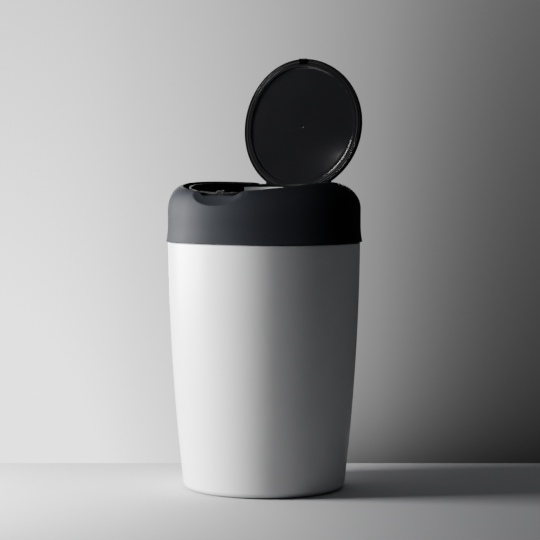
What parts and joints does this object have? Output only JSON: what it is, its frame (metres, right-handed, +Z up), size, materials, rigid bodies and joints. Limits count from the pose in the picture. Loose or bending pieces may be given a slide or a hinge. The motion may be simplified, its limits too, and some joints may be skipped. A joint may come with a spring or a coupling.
{
  "type": "nappy bin",
  "caption": "Twist-type nappy bin: tapered round tub, lift-off domed head with an arched flip lid, film cassette and a twist sleeve with sprung gripper fingers.",
  "frame": {"origin": "on the floor under the middle of the tub, with the lid open", "axes": "+Z up, front (mouth and finger scoop) towards -Y, lid hinge at the back along X"},
  "size_m": [0.2558, 0.2557, 0.5656],
  "materials": {
    "tub_white": "satin gloss",
    "foot_rubber": "matt",
    "collar_grey": "matt",
    "charcoal": "fine matt texture",
    "liner_black": "satin",
    "lid_gloss": "gloss",
    "seal": "matt",
    "twist_grey": "satin",
    "gripper_green": "satin",
    "cassette_blue": "satin gloss",
    "film": "thin translucent film",
    "pawl_acetal": "satin",
    "steel": "satin",
    "label": "smooth, blank",
    "cutter_red": "satin"
  },
  "bodies": {
    "bin": {"tub": "tub_white", "foot_pads": "foot_rubber", "support_collar": "collar_grey", "pawl_washer": "steel"},
    "pawl": {"click_pawl": "pawl_acetal"},
    "twister": {"twist_sleeve": "twist_grey", "ratchet_ring": "pawl_acetal", "retaining_clip": "steel", "gripper_ring": "gripper_green", "finger_pins": "steel"},
    "cassette": {"cassette_tray": "cassette_blue", "cassette_cap": "cassette_blue", "film_pack": "film", "film_sleeve": "film"},
    "head": {"head_cover": "charcoal", "head_liner": "liner_black", "liner_screws": "steel", "mouth_label": "label", "cutter_track": "liner_black", "lid_hinge_pins": "steel"},
    "cutter": {"cutter_shuttle": "cutter_red", "cutter_blade": "steel"},
    "lid": {"lid_shell": "charcoal", "lid_liner": "lid_gloss", "lid_gasket": "seal", "catch_pin": "steel"},
    "catch": {"lid_catch": "liner_black"},
    "finger_1": {"gripper_finger_1": "gripper_green"},
    "finger_2": {"gripper_finger_2": "gripper_green"},
    "finger_3": {"gripper_finger_3": "gripper_green"},
    "finger_4": {"gripper_finger_4": "gripper_green"},
    "finger_5": {"gripper_finger_5": "gripper_green"},
    "finger_6": {"gripper_finger_6": "gripper_green"}
  },
  "joints": [
    {"name": "pawl_click", "type": "hinge", "parent": "bin", "child": "pawl", "pos_m": [-0.01563, 0.08863, 0.2914], "axis": [0, 0, -1], "range_deg": [0, 8], "stiffness_Nm_per_rad": 0.05, "springref_deg": -2.86},
    {"name": "sleeve_twist", "type": "hinge", "parent": "bin", "child": "twister", "pos_m": [0, 0, 0.299], "axis": [0, 0, 1], "continuous": true},
    {"name": "finger_1_flex", "type": "hinge", "parent": "twister", "child": "finger_1", "pos_m": [0.061, 0, 0.2715], "axis": [0, -1, 0], "range_deg": [0, 60], "stiffness_Nm_per_rad": 0.2, "springref_deg": -11.46},
    {"name": "finger_2_flex", "type": "hinge", "parent": "twister", "child": "finger_2", "pos_m": [0.0305, 0.05283, 0.2715], "axis": [0.866, -0.5, 0], "range_deg": [0, 60], "stiffness_Nm_per_rad": 0.2, "springref_deg": -11.46},
    {"name": "finger_3_flex", "type": "hinge", "parent": "twister", "child": "finger_3", "pos_m": [-0.0305, 0.05283, 0.2715], "axis": [0.866, 0.5, 0], "range_deg": [0, 60], "stiffness_Nm_per_rad": 0.2, "springref_deg": -11.46},
    {"name": "finger_4_flex", "type": "hinge", "parent": "twister", "child": "finger_4", "pos_m": [-0.061, 0, 0.2715], "axis": [0, 1, 0], "range_deg": [0, 60], "stiffness_Nm_per_rad": 0.2, "springref_deg": -11.46},
    {"name": "finger_5_flex", "type": "hinge", "parent": "twister", "child": "finger_5", "pos_m": [-0.0305, -0.05283, 0.2715], "axis": [-0.866, 0.5, 0], "range_deg": [0, 60], "stiffness_Nm_per_rad": 0.2, "springref_deg": -11.46},
    {"name": "finger_6_flex", "type": "hinge", "parent": "twister", "child": "finger_6", "pos_m": [0.0305, -0.05283, 0.2715], "axis": [-0.866, -0.5, 0], "range_deg": [0, 60], "stiffness_Nm_per_rad": 0.2, "springref_deg": -11.46},
    {"name": "cassette_lift", "type": "slide", "parent": "bin", "child": "cassette", "axis": [0, 0, 1], "range_m": [0, 0.11]},
    {"name": "head_lift", "type": "slide", "parent": "cassette", "child": "head", "axis": [0, 0, 1], "range_m": [0, 0.06]},
    {"name": "lid_flip", "type": "hinge", "parent": "head", "child": "lid", "pos_m": [0, 0.0705, 0.3867], "axis": [1, 0, 0], "range_deg": [0, 100.2]},
    {"name": "cutter_slide", "type": "slide", "parent": "head", "child": "cutter", "axis": [1, 0, 0], "range_m": [0, 0.032]},
    {"name": "catch_flex", "type": "hinge", "parent": "lid", "child": "catch", "pos_m": [0, 0.10575, 0.56365], "axis": [-1, 0, 0], "range_deg": [0, 10], "stiffness_Nm_per_rad": 0.01, "springref_deg": -2.86}
  ]
}
